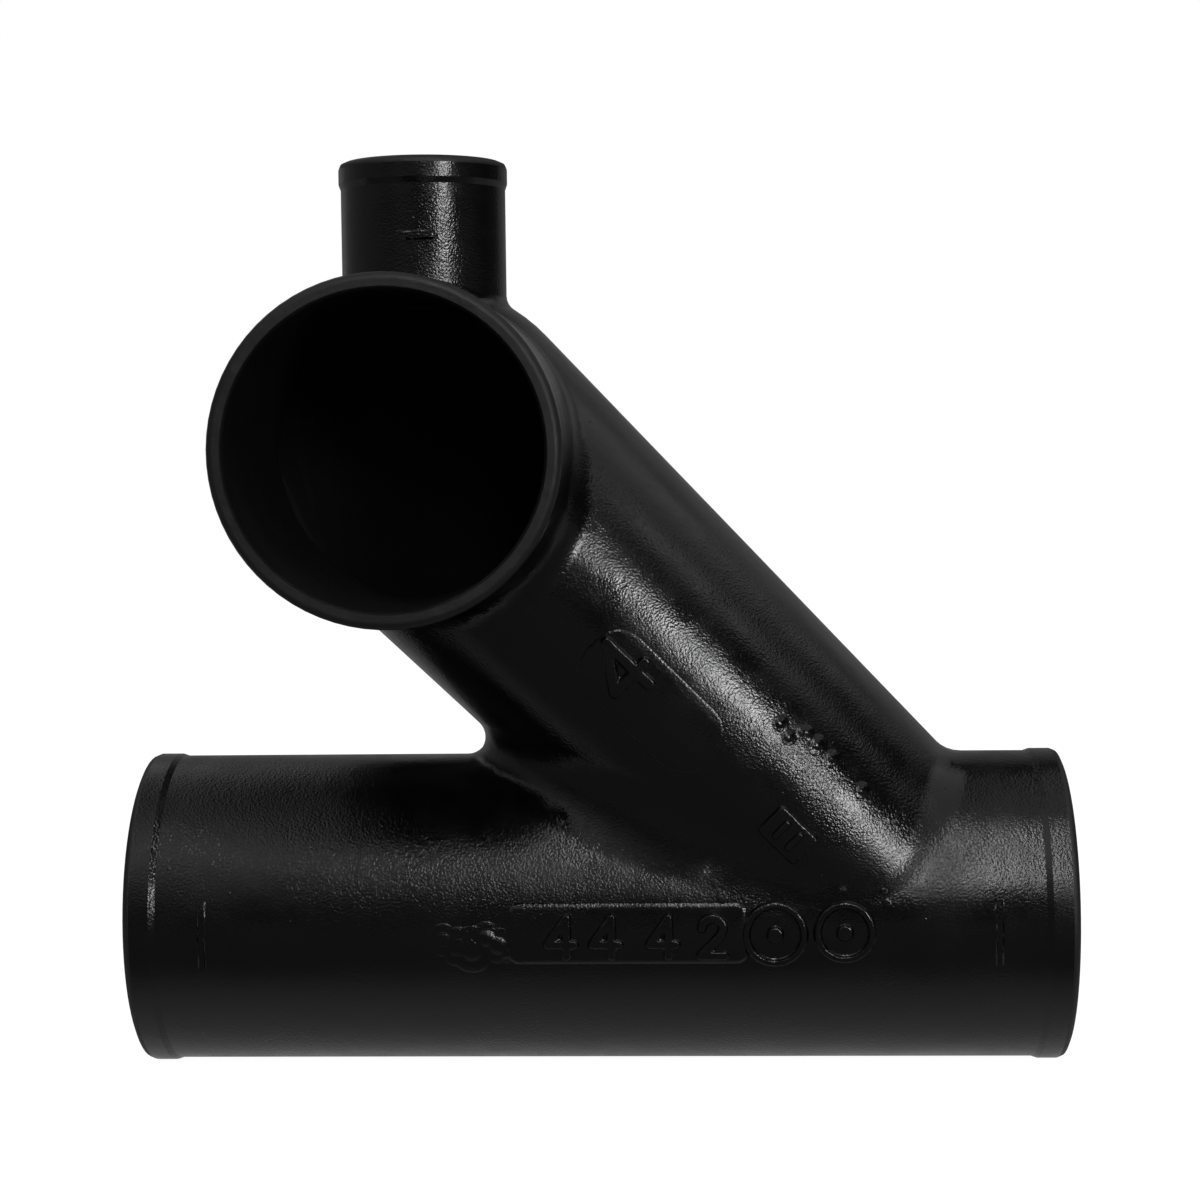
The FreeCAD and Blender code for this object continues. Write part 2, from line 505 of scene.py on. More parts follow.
class CoatEffects:
    """The shared effects of a brushed and dipped black coat on sand-cast iron."""

    pimples_per_wave: float = 5.0
    pimple_rarity: float = 0.84

    def __init__(self) -> None:
        """Build every group."""
        self.peel = self._peel()
        self.cast = self._cast()
        self.film = self._film()

    @staticmethod
    def _peel() -> bpy.types.NodeTree:
        """Build the fine skin of the dried coat, as a height in metres."""
        sheet, given, result = EffectGroup("orange_peel", {"Grain mm": 1.2, "Depth mm": 0.02}, ("Height",)).sheet()
        place = sheet.scaled(given.outputs["Vector"], sheet.math("DIVIDE", 1.0 / MM, given.outputs["Grain mm"]))
        depth = sheet.math("MULTIPLY", given.outputs["Depth mm"], MM)
        sheet.wire(sheet.math("MULTIPLY", sheet.noise(place, 1.0, 1.5), depth), result.inputs["Height"])
        return sheet.tree

    def _cast(self) -> bpy.types.NodeTree:
        """Build the uneven sand-cast wall, as a height in metres, and a mask of its rougher areas."""
        sheet, given, result = EffectGroup("sand_cast_wall", {"Wave mm": 24.0, "Depth mm": 0.2, "Pimple mm": 0.25},
                                           ("Height", "Rough Area")).sheet()
        place = sheet.scaled(given.outputs["Vector"], sheet.math("DIVIDE", 1.0 / MM, given.outputs["Wave mm"]))
        wave = sheet.noise(place, 1.0, 2.0, 0.45, 0.2)
        rough = sheet.steps(sheet.noise(place, 0.42, 2.0, 0.6), 0.47, 0.60)
        cells = sheet.add("ShaderNodeTexVoronoi", {"Vector": place, "Scale": self.pimples_per_wave,
                                                   "Randomness": 1.0}, feature="F1", distance="EUCLIDEAN")
        lot = sheet.add("ShaderNodeSeparateColor", {"Color": cells.outputs["Color"]}).outputs[0]
        chosen = sheet.math("GREATER_THAN", lot, self.pimple_rarity)
        dome = sheet.steps(cells.outputs["Distance"], 0.02, 0.13, 1.0, 0.0)
        pimple = sheet.math("MULTIPLY", sheet.math("MULTIPLY", dome, chosen), given.outputs["Pimple mm"])
        swell = sheet.math("MULTIPLY", wave, given.outputs["Depth mm"])
        sheet.wire(sheet.math("MULTIPLY", sheet.math("ADD", swell, pimple), MM), result.inputs["Height"])
        sheet.wire(rough, result.inputs["Rough Area"])
        return sheet.tree

    @staticmethod
    def _film() -> bpy.types.NodeTree:
        """Build the thin grey film of handling and dust, as a mask that favours what faces up."""
        sheet, given, result = EffectGroup("handling_film", {"Amount": 0.3}, ("Mask",)).sheet()
        facing = sheet.add("ShaderNodeNewGeometry").outputs["Normal"]
        upward = sheet.steps(sheet.add("ShaderNodeSeparateXYZ", {"Vector": facing}).outputs["Z"], 0.1, 0.95)
        cloud = sheet.steps(sheet.noise(given.outputs["Vector"], 34.0, 5.0, 0.62), 0.42, 0.68)
        speck = sheet.steps(sheet.noise(given.outputs["Vector"], 900.0, 2.0, 0.6), 0.62, 0.72)
        settled = sheet.math("MULTIPLY", sheet.math("ADD", sheet.math("MULTIPLY", upward, 0.7), 0.3), cloud)
        both = sheet.math("ADD", settled, sheet.math("MULTIPLY", speck, 0.35))
        sheet.wire(sheet.math("MULTIPLY", both, given.outputs["Amount"], clamp=True), result.inputs["Mask"])
        return sheet.tree


@dataclass(frozen=True)
class BlackCoat:
    """A black bituminous coat on cast iron, with its grain and waves in millimetres."""

    name: str
    deep: tuple[float, float, float]
    worn: tuple[float, float, float]
    gloss: float
    dull: float
    ior: float
    grain: float
    grain_depth: float
    ripple: float
    ripple_depth: float
    wave: float
    wave_depth: float
    pimple: float
    film: float
    uneven_share: float = 0.4
    grain_everywhere: float = 0.62
    grain_in_rough_area: float = 0.55

    def build(self, effects: CoatEffects) -> bpy.types.Material:
        """Make the material.

        Args:
            effects: The shared node groups.

        Returns:
            The finished material.
        """
        material = bpy.data.materials.new(self.name)
        sheet = NodeSheet.blank(material)
        place = sheet.add("ShaderNodeTexCoord").outputs["Object"]
        cast, peel, ripple, film = (
            sheet.add("ShaderNodeGroup", {"Vector": place, **own}, node_tree=group) for group, own in (
                (effects.cast, {"Wave mm": self.wave, "Depth mm": self.wave_depth, "Pimple mm": self.pimple}),
                (effects.peel, {"Grain mm": self.grain, "Depth mm": self.grain_depth}),
                (effects.peel, {"Grain mm": self.ripple, "Depth mm": self.ripple_depth}),
                (effects.film, {"Amount": self.film})))

        more = sheet.math("MULTIPLY", cast.outputs["Rough Area"], self.grain_in_rough_area)
        share = sheet.math("ADD", more, self.grain_everywhere)
        fine = sheet.math("MULTIPLY", peel.outputs["Height"], share)
        height = sheet.math("ADD", sheet.math("ADD", fine, ripple.outputs["Height"]), cast.outputs["Height"])
        bump = sheet.add("ShaderNodeBump", {"Strength": 1.0, "Distance": 1.0, "Height": height})
        tone = sheet.add("ShaderNodeMix", {"Factor": film.outputs["Mask"], "A": (*self.deep, 1.0),
                                           "B": (*self.worn, 1.0)}, data_type="RGBA")
        dulling = self.dull - self.gloss
        uneven = sheet.steps(sheet.noise(place, 60.0, 3.0, 0.6), 0.35, 0.65, self.gloss,
                             self.gloss + dulling * self.uneven_share)
        lift = sheet.math("MULTIPLY", film.outputs["Mask"], dulling)
        surface = sheet.add("ShaderNodeBsdfPrincipled", {
            "Base Color": tone.outputs["Result"], "Metallic": 0.0, "IOR": self.ior,
            "Roughness": sheet.math("ADD", uneven, lift, clamp=True), "Normal": bump.outputs["Normal"]})
        sheet.add("ShaderNodeOutputMaterial", {"Surface": surface.outputs[0]})
        return material


@dataclass
class CastSkin:
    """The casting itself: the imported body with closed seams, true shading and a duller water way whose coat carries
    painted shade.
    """

    node: str = "fitting_body"
    seam: float = 0.01 * MM
    crease: float = 20.0
    near: float = 0.006 * MM
    even_within: float = 22.0
    even_share: float = 0.97
    calm_passes: int = 8
    shortest_edge: float = 0.1 * MM

    def build(self, frame: dict, form: CastingForm, coats: tuple[bpy.types.Material, ...]) -> Piece:
        """Make the skin.

        Args:
            form: The casting's forms.
            coats: The finishes outside, in the water way (a copy with painted shade) and on the rims.

        Returns:
            The finished skin.
        """
        source = frame["nodes"][self.node]
        piece = bpy.data.objects.new("cast_skin", source.data.copy())
        bpy.context.scene.collection.objects.link(piece)
        piece.data.name = "cast_skin"
        Bench.open(piece)
        bpy.ops.mesh.remove_doubles(threshold=self.seam)
        Bench.take(piece)
        bpy.ops.object.shade_smooth_by_angle(angle=math.radians(self.crease), keep_sharp_edges=False)
        piece.data.materials.clear()
        for coat in coats:
            piece.data.materials.append(coat)
        for face in piece.data.polygons:
            # Faces of the water way get the coat with painted shade; the rims get the duller rim coat.
            face.material_index = 2 if form.is_rim(face.center, face.normal) else int(form.is_inside(face.center))
        self._shade_true(piece.data, form)
        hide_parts(self.node)
        return piece

    def _shade_true(self, mesh: bpy.types.Mesh, form: CastingForm) -> None:
        """Give each corner on a round form that form's own direction, so that long facets shade evenly.

        Args:
            mesh: The skin's mesh.
            form: The casting's forms.
        """
        points = np.array([vertex.co for vertex in mesh.vertices])
        at = np.array([loop.vertex_index for loop in mesh.loops])
        sides = [face.loop_total for face in mesh.polygons]
        flat = np.repeat([face.normal for face in mesh.polygons], sides, axis=0)
        area = np.repeat([face.area for face in mesh.polygons], sides)
        chosen = np.array([corner.vector for corner in mesh.corner_normals])
        smooth = self._even_out(at, flat, area, chosen)
        free = np.ones(len(chosen), dtype=bool)
        for round_form in form.round_forms():
            off, out = round_form.compare(points[at])
            fits = free & (off < self.near) & agree(out, flat, round_form.grip)
            chosen[fits] = out[fits]
            free &= ~fits
        steady = self._calm(mesh, points, at, chosen, free, smooth)
        fits = free & smooth[at] & agree(steady[at], flat, self.crease)
        chosen[fits] = steady[at][fits]
        mesh.normals_split_custom_set(chosen.tolist())
        LOG.info("skin: %d of %d corners shaded from the forms", int((~free).sum()), len(free))

    def _even_out(self, at: np.ndarray, flat: np.ndarray, area: np.ndarray, chosen: np.ndarray) -> np.ndarray:
        """Give each vertex in a smooth area one direction, in which thin slivers hardly count.

        Args:
            at: The vertex of each corner.
            flat: The direction of each corner's face.
            area: The area of each corner's face.
            chosen: The direction of each corner, changed in place.

        Returns:
            For each vertex, whether it lies in a smooth area.
        """
        mean = np.zeros((at.max() + 1, 3))
        np.add.at(mean, at, flat * area[:, None])
        mean = unit(mean)
        whole, agreed = np.zeros(len(mean)), np.zeros(len(mean))
        np.add.at(whole, at, area)
        np.add.at(agreed, at, area * agree(mean[at], flat, self.even_within))
        smooth = agreed > self.even_share * whole
        chosen[smooth[at]] = mean[at][smooth[at]]
        return smooth

    def _calm(self, mesh: bpy.types.Mesh, points: np.ndarray, at: np.ndarray, chosen: np.ndarray, free: np.ndarray,
              smooth: np.ndarray) -> np.ndarray:
        """Let the directions inside each blend run evenly from one round form to the next.

        Args:
            mesh: The skin's mesh.
            points: The place of each vertex.
            at: The vertex of each corner.
            chosen: The direction of each corner.
            free: Whether each corner lies on no round form.
            smooth: Whether each vertex lies in a smooth area.

        Returns:
            The calm direction at each vertex.
        """
        steady = np.zeros_like(points)
        steady[at] = chosen
        steady[at[~free]] = chosen[~free]
        loose = smooth.copy()
        loose[at[~free]] = False
        edges = np.array([edge.vertices[:] for edge in mesh.edges])
        edges = edges[smooth[edges].all(axis=1)]
        length = np.linalg.norm(points[edges[:, 0]] - points[edges[:, 1]], axis=1)
        pull = 1.0 / np.maximum(length, self.shortest_edge)
        for _ in range(self.calm_passes):
            drift = np.zeros_like(steady)
            for here, there in ((0, 1), (1, 0)):
                np.add.at(drift, edges[:, here], steady[edges[:, there]] * pull[:, None])
            drift = unit(unit(drift) + steady)
            steady[loose] = drift[loose]
        return steady


@dataclass
class Relief:
    """Something low that stands out of the casting, soft at its top edge and at its foot."""

    name: str
    seat: Seat
    along: float
    above_front: float
    turn: float = 0.0
    height: float = 1.0 * MM
    sink: float = 0.7 * MM
    foot: float = 0.7 * MM
    foot_height: float = 0.22 * MM
    cell: float = 1.1 * MM
    voxel: float = 0.28 * MM
    softening: int = 11
    stand_off: float = 0.2

    def outline(self, spread: float) -> Piece:
        """Draw the flat outline about the origin, facing up.

        Args:
            spread: How far the outline is grown all round.

        Returns:
            The flat mesh.
        """
        raise NotImplementedError

    def build(self, form: CastingForm, skin: Piece) -> Piece:
        """Raise the relief on the skin.

        Args:
            form: The casting's forms.
            skin: What it stands on.

        Returns:
            The finished relief.
        """
        layers = [self._layer(form, skin, 0.0, self.height)]
        if self.foot > 0.0:
            layers.append(self._layer(form, skin, self.foot, self.foot_height))
        piece = Bench.join(self.name, layers)
        Bench.work(piece, "REMESH", mode="VOXEL", voxel_size=self.voxel, use_smooth_shade=True)
        Bench.work(piece, "SMOOTH", factor=0.5, iterations=self.softening)
        return piece

    def _layer(self, form: CastingForm, skin: Piece, spread: float, height: float) -> Piece:
        """Make one closed layer that follows the skin.

        Args:
            form: The casting's forms.
            skin: What the layer follows.
            spread: How far its outline is grown.
            height: How far it stands out.

        Returns:
            The layer.
        """
        piece = self.outline(spread)
        self._divide(piece)
        point, _ = form.seat(self.seat, self.along, self.above_front)
        front = Matrix.Translation((point.x, -self.stand_off, point.z)) @ Matrix.Rotation(math.pi / 2, 4, "X")
        Bench.place(piece, front @ Matrix.Rotation(math.radians(self.turn), 4, "Z"))
        Bench.work(piece, "SHRINKWRAP", target=skin, wrap_method="PROJECT", use_project_y=True,
                   use_positive_direction=True, use_negative_direction=False)
        Bench.work(piece, "DISPLACE", strength=-self.sink, mid_level=0.0, direction="NORMAL")
        Bench.work(piece, "SOLIDIFY", thickness=self.sink + height, offset=1.0)
        return piece

    def _divide(self, piece: Piece) -> None:
        """Cut a flat outline into small cells, so that it can follow a round form.

        Args:
            piece: The flat outline.
        """
        corners = [vertex.co.copy() for vertex in piece.data.vertices]
        Bench.open(piece)
        for axis in (0, 1):
            low, high = min(c[axis] for c in corners), max(c[axis] for c in corners)
            count = max(1, math.ceil((high - low) / self.cell))
            for step in range(1, count):
                on_plane, across = Vector(), Vector()
                on_plane[axis] = low + (high - low) * step / count
                across[axis] = 1.0
                bpy.ops.mesh.select_all(action="SELECT")
                bpy.ops.mesh.bisect(plane_co=on_plane, plane_no=across)
        Bench.put_down()


class Digit(Enum):
    """Plain digits, as strokes through points in units of the digit's height."""

    TWO = (((0.06, 0.74), (0.10, 0.88), (0.21, 0.97), (0.35, 1.0), (0.50, 0.96), (0.60, 0.86), (0.63, 0.73),
            (0.58, 0.59), (0.47, 0.45), (0.03, 0.0), (0.66, 0.0)),)
    FOUR = (((0.50, 0.0), (0.50, 1.0), (0.0, 0.31), (0.70, 0.31)),)


@dataclass
class RaisedDigit(Relief):
    """A plain cast digit, drawn in round-ended strokes."""

    digit: Digit = Digit.FOUR
    size: float = 13.0 * MM
    weight: float = 2.6 * MM
    middle: tuple[float, float] = (0.33, 0.5)
    end_round: float = 0.49

    def outline(self, spread: float) -> Piece:
        """Draw the digit. See Relief.outline."""
        bars = []
        width = self.weight + 2 * spread
        for stroke in self.digit.value:
            for start, end in zip(stroke, stroke[1:]):
                first, last = (Vector(((x - self.middle[0]) * self.size, (y - self.middle[1]) * self.size, 0.0))
                               for x, y in (start, end))
                run = last - first
                bar = Bench.flat_bar(run.length + width, width, width * self.end_round)
                turn = Matrix.Rotation(math.atan2(run.y, run.x), 4, "Z")
                Bench.place(bar, Matrix.Translation((first + last) / 2) @ turn)
                bars.append(bar)
        return Bench.join(self.name, bars)


@dataclass
class RaisedPlate(Relief):
    """A flat raised field with round corners."""

    length: float = 20.0 * MM
    width: float = 10.0 * MM
    corner: float = 1.0 * MM

    def outline(self, spread: float) -> Piece:
        """Draw the field. See Relief.outline."""
        return Bench.flat_bar(self.length + 2 * spread, self.width + 2 * spread, self.corner + spread)


@dataclass
class RaisedRing(Relief):
    """A plain raised ring with a plain boss in its middle."""

    radius: float = 11.0 * MM
    band: float = 2.0 * MM
    boss: float = 2.6 * MM

    def outline(self, spread: float) -> Piece:
        """Draw the ring and the boss. See Relief.outline."""
        ring = Bench.disc(self.radius + spread, 56)
        Bench.open(ring)
        bpy.ops.mesh.inset(thickness=self.band + 2 * spread)
        bpy.ops.mesh.delete(type="FACE")
        return Bench.join(self.name, [ring, Bench.disc(self.boss + spread, 28)])


@dataclass
class RaisedBoss(Relief):
    """A plain round spot."""

    radius: float = 2.0 * MM

    def outline(self, spread: float) -> Piece:
        """Draw the spot. See Relief.outline."""
        return Bench.disc(self.radius + spread, 24)


@dataclass
class CastingFault:
    """A few grains of iron that ran together on the mould's wall.

    Each grain is given in millimetres: how far it lies along and round the form from the fault's own place, its
    radius and its height. It is made of a core and a wide skirt, whose width, height and depth are shares of these.
    """

    name: str
    seat: Seat
    along: float
    above_front: float
    grains: tuple[tuple[float, float, float, float], ...]
    churn: float
    softening: int
    churn_size: float = 3.4 * MM
    churn_level: float = 0.55
    voxel: float = 0.3 * MM
    shells: tuple[tuple[float, float, float], ...] = ((1.25, 2.1, 1.1), (2.1, 1.1, 0.75))

    def build(self, form: CastingForm) -> Piece:
        """Make the fault.

        Args:
            form: The casting's forms.

        Returns:
            The finished fault.
        """
        seat_radius = form.run_radius if self.seat is Seat.RUN else form.branch_radius(self.along)
        shells = []
        for grain in self.grains:
            along, across, radius, height = (value * MM for value in grain)
            angle = self.above_front + math.degrees(across / seat_radius)
            point, out = form.seat(self.seat, self.along + along, angle)
            facing = out.to_track_quat("Z", "Y").to_matrix().to_4x4()
            for wide, tall, sunk in self.shells:
                Bench.put_down()
                bpy.ops.mesh.primitive_ico_sphere_add(subdivisions=4, radius=1.0)
                size = Matrix.Diagonal((radius * wide, radius * wide, height * tall, 1.0))
                Bench.place(Bench.held(), Matrix.Translation(point - out * height * sunk) @ facing @ size)
                shells.append(Bench.held())
        piece = Bench.join(self.name, shells)
        Bench.work(piece, "REMESH", mode="VOXEL", voxel_size=self.voxel, use_smooth_shade=True)
        cloud = bpy.data.textures.new(self.name, "CLOUDS")
        cloud.noise_scale = self.churn_size
        cloud.noise_depth = 1
        Bench.work(piece, "DISPLACE", texture=cloud, texture_coords="LOCAL", strength=self.churn,
                   mid_level=self.churn_level)
        Bench.work(piece, "SMOOTH", factor=0.5, iterations=self.softening)
        return piece


@dataclass
class CastMarks:
    """All that the foundry's pattern raises on the front of the casting."""

    form: CastingForm
    skin: Piece
    coat: bpy.types.Material

    def build(self) -> list[Piece]:
        """Make every mark and fault.

        Returns:
            The finished pieces.
        """
        pieces = [mark.build(self.form, self.skin) for mark in self._marks()]
        pieces += [fault.build(self.form) for fault in self._faults()]
        for piece in pieces:
            piece.data.materials.clear()
            piece.data.materials.append(self.coat)
            LOG.info("mark %s: %d faces", piece.name, len(piece.data.polygons))
        return pieces

    @staticmethod
    def _marks() -> list[Relief]:
        """List the raised marks in their places."""
        marks: list[Relief] = [
            RaisedPlate("size_field", Seat.RUN, -151.5 * MM, 0.0, height=0.8 * MM, foot=1.1 * MM,
                        foot_height=0.35 * MM, voxel=0.4 * MM, softening=14, length=81.5 * MM, width=19.5 * MM,
                        corner=2.4 * MM),
            RaisedRing("round_mark_1", Seat.RUN, -100.4 * MM, -0.4, height=1.5 * MM),
            RaisedRing("round_mark_2", Seat.RUN, -76.3 * MM, 0.2, height=1.5 * MM, radius=10.4 * MM),
            RaisedBoss("spot_over_field", Seat.RUN, -118.5 * MM, 12.9, height=0.9 * MM, foot=0.0,
                       radius=2.3 * MM, softening=24),
            RaisedBoss("spot_by_ring_1", Seat.RUN, -62.6 * MM, 14.8, height=0.8 * MM, foot=0.0, radius=1.5 * MM),
            RaisedBoss("spot_by_ring_2", Seat.RUN, -61.6 * MM, 10.8, height=0.8 * MM, foot=0.0, radius=1.7 * MM),
            RaisedPlate("parting_line", Seat.RUN, -245.3 * MM, 31.0, turn=90.0, height=0.22 * MM, foot=0.0,
                        length=24.0 * MM, width=0.9 * MM, corner=0.3 * MM, softening=4),
            RaisedPlate("branch_pad", Seat.BRANCH, 118.0 * MM, -3.6, turn=-45.0, height=0.34 * MM, foot=0.8 * MM,
                        foot_height=0.15 * MM, voxel=0.4 * MM, softening=16, length=56.0 * MM, width=26.0 * MM,
                        corner=10.0 * MM),
            RaisedDigit("branch_digit", Seat.BRANCH, 133.0 * MM, -3.0, turn=45.0, height=2.1 * MM, size=20.5 * MM,
                        weight=3.4 * MM, foot_height=1.0 * MM),
            RaisedPlate("branch_tag", Seat.BRANCH, 52.0 * MM, -3.7, turn=-45.0, height=1.0 * MM, length=17.0 * MM,
                        width=12.0 * MM),
        ]
        marks += [RaisedPlate(f"branch_tag_bar_{number}", Seat.BRANCH, along * MM, -3.7, turn=45.0, height=2.2 * MM,
                              length=7.5 * MM, width=2.0 * MM, corner=0.6 * MM, foot=0.4 * MM, foot_height=1.3 * MM)
                  for number, along in ((1, 55.0), (2, 49.0))]
        marks += [RaisedDigit(f"size_digit_{number}", Seat.RUN, x * MM, -1.0, height=2.2 * MM, foot=0.5 * MM,
                              foot_height=1.4 * MM, softening=7, digit=digit)
                  for number, x, digit in ((1, -174.9, Digit.FOUR), (2, -159.3, Digit.FOUR),
                                           (3, -139.5, Digit.FOUR), (4, -122.2, Digit.TWO))]
        return marks

    @staticmethod
    def _faults() -> list[CastingFault]:
        """List the small casting faults in their places."""
        return [
            CastingFault("scab_on_run", Seat.RUN, -204.5 * MM, -3.0, (
                (-11.0, 1.0, 3.0, 0.7), (-6.0, -1.5, 3.6, 0.9), (-1.0, -2.5, 4.2, 1.0), (4.0, 1.5, 3.2, 1.2),
                (8.0, -1.0, 3.4, 1.1), (11.0, -4.0, 2.0, 0.7)), churn=0.2 * MM, softening=16),
            CastingFault("scab_on_branch", Seat.BRANCH, 65.0 * MM, 22.6, (
                (15.9, 0.6, 1.9, 0.75), (10.4, -0.8, 1.8, 0.7), (8.3, 4.0, 1.6, 0.7), (6.6, 5.4, 1.6, 0.7),
                (1.4, 4.7, 2.3, 0.85), (-5.7, 5.0, 1.9, 0.75), (-20.9, 4.4, 1.9, 0.7)),
                churn=0.1 * MM, softening=10),
        ]


@dataclass(frozen=True)
class Softbox:
    """A large soft lamp, placed by the direction that it is seen in from the casting."""

    name: str
    azimuth: float
    elevation: float
    wide: float
    tall: float
    radiance: float
    soft: float = 1.0
    tilt: float = 0.0
    distance: float = 3.0

    def hang(self, aim: Vector) -> None:
        """Hang the lamp.

        Args:
            aim: What it shines on.
        """
        azimuth, elevation = math.radians(self.azimuth), math.radians(self.elevation)
        away = Vector((math.sin(azimuth) * math.cos(elevation), -math.cos(azimuth) * math.cos(elevation),
                       math.sin(elevation)))
        data = bpy.data.lights.new(self.name, "AREA")
        data.shape = "RECTANGLE"
        data.size = 2 * self.distance * math.tan(math.radians(self.wide / 2))
        data.size_y = 2 * self.distance * math.tan(math.radians(self.tall / 2))
        data.energy = 4.0 * data.size * data.size_y * self.radiance
        self._feather(data)
        lamp = bpy.data.objects.new(self.name, data)
        bpy.context.scene.collection.objects.link(lamp)
        lamp.location = aim + away * self.distance
        facing = (-away).to_track_quat("-Z", "Y") @ Quaternion((0.0, 0.0, 1.0), math.radians(self.tilt))
        lamp.rotation_euler = facing.to_euler()
        lamp.visible_camera = False

    def _feather(self, data: bpy.types.AreaLight) -> None:
        """Dim the lamp towards its edges, as the cloth of a softbox does.

        Args:
            data: The lamp's data.
        """
        sheet = NodeSheet.blank(data)
        spot = sheet.add("ShaderNodeNewGeometry").outputs["Parametric"]
        place = sheet.add("ShaderNodeSeparateXYZ", {"Vector": spot})
        shares = []
        for axis in ("X", "Y"):
            centred = sheet.math("SUBTRACT", sheet.math("MULTIPLY", place.outputs[axis], 2.0), 1.0)
            shares.append(sheet.steps(sheet.math("ABSOLUTE", centred), 1.0 - self.soft, 1.0, 1.0, 0.0))
        glow = sheet.add("ShaderNodeEmission", {"Strength": sheet.math("MULTIPLY", *shares)})
        sheet.add("ShaderNodeOutputLight", {"Surface": glow.outputs[0]})


@dataclass
class Studio:
    """A plain pale floor that turns up into a backdrop, soft lamps and dim surroundings."""

    floor_z: float
    aim: Vector
    half_width: float = 6.0
    front: float = -2.2
    back: float = 6.0
    rise: float = 5.0
    fold: float = 1.6
    paper: float = 0.20
    paper_glow: float = 0.97
    # Painted light in reflections: the paper's glow seen in gloss is faint in front of the casting, strong under it and
    # weaker behind it.
    mirrored_front: float = 0.015
    mirrored_under: float = 0.34
    mirrored_back: float = 0.14
    turn_to_under: tuple[float, float] = (-0.12, -0.045)
    turn_to_back: tuple[float, float] = (-0.03, 0.04)
    surroundings: float = 0.02
    edge_slack: float = 1.0 * MM
    lamps: tuple[Softbox, ...] = (
        Softbox("key", 33.6, 14.4, 15.0, 11.4, 20.0, soft=0.25, tilt=45.0),
        Softbox("vent_side", 29.0, 5.0, 46.0, 9.0, 1.0),
        Softbox("vent_fill", 58.0, 2.0, 80.0, 18.0, 0.2, soft=0.8),
        Softbox("upper_front", 8.7, 43.0, 5.0, 62.0, 13.0, soft=0.5),
        Softbox("front_glow", -26.0, 41.0, 92.0, 94.0, 0.38),
        Softbox("overhead_left", -90.0, 58.0, 120.0, 44.0, 0.44, soft=0.5),
        Softbox("overhead_right", 78.0, 61.0, 90.0, 52.0, 0.44, soft=0.3),
        Softbox("back_right", 134.0, 28.0, 50.0, 40.0, 0.09, soft=0.5),
        Softbox("band_side", 73.0, 37.5, 17.0, 15.0, 0.9, soft=0.7),
        Softbox("left_wall", -100.0, 12.0, 110.0, 44.0, 0.13, soft=0.6),
    )

    def build(self) -> None:
        """Set up the floor, the lamps and the surroundings."""
        self._sweep()
        for lamp in self.lamps:
            lamp.hang(self.aim)
        self._world()

    def _sweep(self) -> None:
        """Make the floor and backdrop in one sheet."""
        Bench.put_down()
        bpy.ops.mesh.primitive_plane_add(size=2.0, location=(0.0, 0.0, 0.0))
        sweep = Bench.held()
        sweep.name = "floor_sweep"
        Bench.open(sweep)
        bpy.ops.transform.resize(value=(self.half_width, (self.back - self.front) / 2, 1.0))
        bpy.ops.transform.translate(value=(self.aim.x, (self.back + self.front) / 2, self.floor_z))
        self._pick_edge(sweep, lambda co: co.y > self.back - self.edge_slack)
        bpy.ops.mesh.extrude_region_move(TRANSFORM_OT_translate={"value": (0.0, 0.0, self.rise)})
        self._pick_edge(sweep, lambda co: co.y > self.back - self.edge_slack and co.z < self.floor_z + self.edge_slack)
        bpy.ops.mesh.bevel(offset=self.fold, segments=24, affect="EDGES")
        Bench.take(sweep)
        bpy.ops.object.shade_smooth()
        sweep.data.materials.append(self._paper())

    @staticmethod
    def _pick_edge(piece: Piece, wanted: Callable[[Vector], bool]) -> None:
        """Select the vertices that a test wants, and the edges between them.

        Args:
            piece: The piece, in edit mode.
            wanted: A test of a vertex's place.
        """
        bpy.ops.object.mode_set(mode="OBJECT")
        for part in (*piece.data.polygons, *piece.data.edges, *piece.data.vertices):
            part.select = False
        for vertex in piece.data.vertices:
            vertex.select = wanted(vertex.co)
        for edge in piece.data.edges:
            edge.select = all(piece.data.vertices[i].select for i in edge.vertices)
        bpy.ops.object.mode_set(mode="EDIT")
        bpy.ops.mesh.select_mode(type="EDGE")

    def _paper(self) -> bpy.types.Material:
        """Make the pale paper, which the camera sees as near white, with painted light and shade in the glow that
        reflections see.
        """
        material = bpy.data.materials.new("pale_paper")
        sheet = NodeSheet.blank(material)
        spot = sheet.add("ShaderNodeTexCoord").outputs["Object"]
        depth = sheet.add("ShaderNodeSeparateXYZ", {"Vector": spot}).outputs["Y"]
        # Painted pool of light for reflections: the glow in gloss rises from nearly dark in front to strong under the
        # casting, then falls off behind.
        under = sheet.steps(depth, *self.turn_to_under, self.mirrored_front, self.mirrored_under)
        behind = sheet.steps(depth, *self.turn_to_back, 0.0, self.mirrored_under - self.mirrored_back)
        glow = self._backlight(sheet, self.paper_glow, sheet.math("SUBTRACT", under, behind))
        surface = sheet.add("ShaderNodeBsdfPrincipled", {
            "Base Color": (self.paper, self.paper, self.paper, 1.0), "Roughness": 1.0, "Specular IOR Level": 0.0,
            "Emission Color": (1.0, 1.0, 1.0, 1.0), "Emission Strength": glow})
        sheet.add("ShaderNodeOutputMaterial", {"Surface": surface.outputs[0]})
        return material

    @staticmethod
    def _backlight(sheet: NodeSheet, strength: float, mirrored_strength: object) -> Socket:
        """Add the glow of a lit backdrop, full to the camera and fainter in gloss and glass.

        Args:
            sheet: The sheet of the paper or the world.
            strength: The glow that the camera sees.
            mirrored_strength: The glow in gloss and glass, a number or a socket.

        Returns:
            The strength's socket.
        """
        path = sheet.add("ShaderNodeLightPath")
        mirrored = sheet.math("MAXIMUM", path.outputs["Is Glossy Ray"], path.outputs["Is Transmission Ray"])
        seen = sheet.math("MULTIPLY", path.outputs["Is Camera Ray"], strength)
        return sheet.math("ADD", seen, sheet.math("MULTIPLY", mirrored, mirrored_strength))

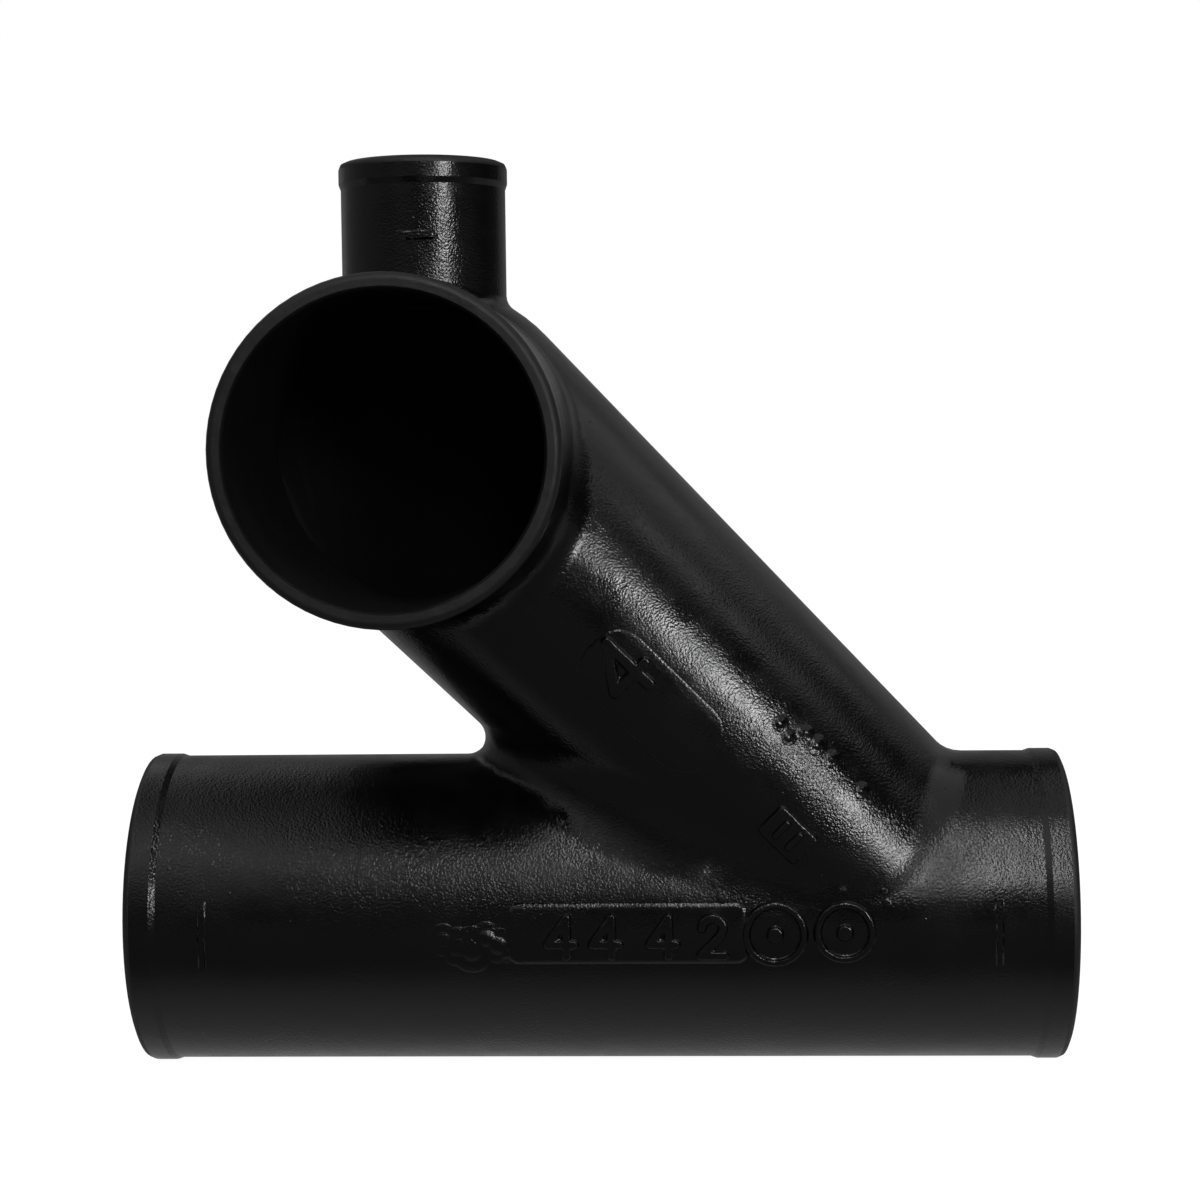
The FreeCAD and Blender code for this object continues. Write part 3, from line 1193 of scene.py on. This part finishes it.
    def _world(self) -> None:
        """Make the dim, even surroundings, which the camera sees as white as the paper."""
        world = bpy.data.worlds.new("surroundings")
        sheet = NodeSheet.blank(world)
        strength = sheet.math("ADD", self._backlight(sheet, 1.0, self.mirrored_front), self.surroundings)
        glow = sheet.add("ShaderNodeBackground", {"Color": (1.0, 1.0, 1.0, 1.0), "Strength": strength})
        sheet.add("ShaderNodeOutputWorld", {"Surface": glow.outputs[0]})
        bpy.context.scene.world = world


@dataclass(frozen=True)
class StudioCamera:
    """The camera at the picture's viewpoint."""

    place: tuple[float, float, float] = (-127.126 * MM, -874.218 * MM, 169.947 * MM)
    yaw: float = -2.274
    pitch: float = 3.761
    roll: float = -0.67
    lens: float = 71.69
    sensor: float = 36.0

    def set_up(self) -> None:
        """Make the camera and give it to the scene."""
        data = bpy.data.cameras.new("studio_camera")
        data.lens = self.lens
        data.sensor_fit = "HORIZONTAL"
        data.sensor_width = self.sensor
        data.clip_start = 0.01
        data.clip_end = 50.0
        camera = bpy.data.objects.new("studio_camera", data)
        bpy.context.scene.collection.objects.link(camera)
        turned = (Matrix.Rotation(math.radians(self.roll), 3, "Y") @ Matrix.Rotation(math.radians(self.pitch), 3, "X")
                  @ Matrix.Rotation(math.radians(self.yaw), 3, "Z"))
        facing = turned.transposed() @ Matrix.Rotation(math.pi / 2, 3, "X")
        camera.matrix_world = Matrix.Translation(self.place) @ facing.to_4x4()
        bpy.context.scene.camera = camera


OUTER_COAT = BlackCoat("black_coat", deep=(0.0009, 0.0009, 0.00093), worn=(0.009, 0.009, 0.0092), gloss=0.13,
                       dull=0.36, ior=1.42, grain=0.80, grain_depth=0.16, ripple=4.2, ripple_depth=0.05, wave=22.0,
                       wave_depth=0.28, pimple=0.10, film=0.25)
# Painted shade: the water way's copy of the coat reflects weakly (low IOR) so that the inside stays dark, and its
# lighter base tone stands in for the dim light that reaches in.
BORE_COAT_PAINTED_SHADE = BlackCoat("bore_painted_shade_coat", deep=(0.0045, 0.0045, 0.0045), worn=(0.007, 0.007, 0.007), gloss=0.65,
                      dull=0.85, ior=1.20, grain=1.6, grain_depth=0.10, ripple=6.0, ripple_depth=0.12, wave=18.0,
                      wave_depth=0.5, pimple=0.2, film=0.3)
RIM_COAT = BlackCoat("rim_coat", deep=(0.0034, 0.0034, 0.0035), worn=(0.013, 0.013, 0.0132), gloss=0.50,
                     dull=0.66, ior=1.42, grain=1.5, grain_depth=0.12, ripple=5.0, ripple_depth=0.25, wave=14.0,
                     wave_depth=0.5, pimple=0.12, film=0.50)


def corners(box: tuple) -> list[list[float]]:
    """Turn a box into plain lists of numbers."""
    return [[float(value) for value in corner] for corner in box]


def main() -> None:
    """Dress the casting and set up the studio."""
    logging.basicConfig(level=logging.INFO, format="%(message)s")
    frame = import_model()
    form = CastingForm()
    effects = CoatEffects()
    coats = tuple(coat.build(effects) for coat in (OUTER_COAT, BORE_COAT_PAINTED_SHADE, RIM_COAT))

    skin = CastSkin().build(frame, form, coats)
    LOG.info("skin: %d faces", len(skin.data.polygons))
    pieces = [skin] + CastMarks(form, skin, coats[0]).build()
    for piece in pieces:
        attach(piece, BODY)
    LOG.info("pieces: %d, faces: %d", len(pieces), sum(len(piece.data.polygons) for piece in pieces))

    Studio(floor_z=form.floor_z, aim=Vector((-0.16, 0.0, 0.09))).build()
    StudioCamera().set_up()
    bpy.context.scene.view_settings.view_transform = "Standard"


if __name__ == "__main__":
    main()
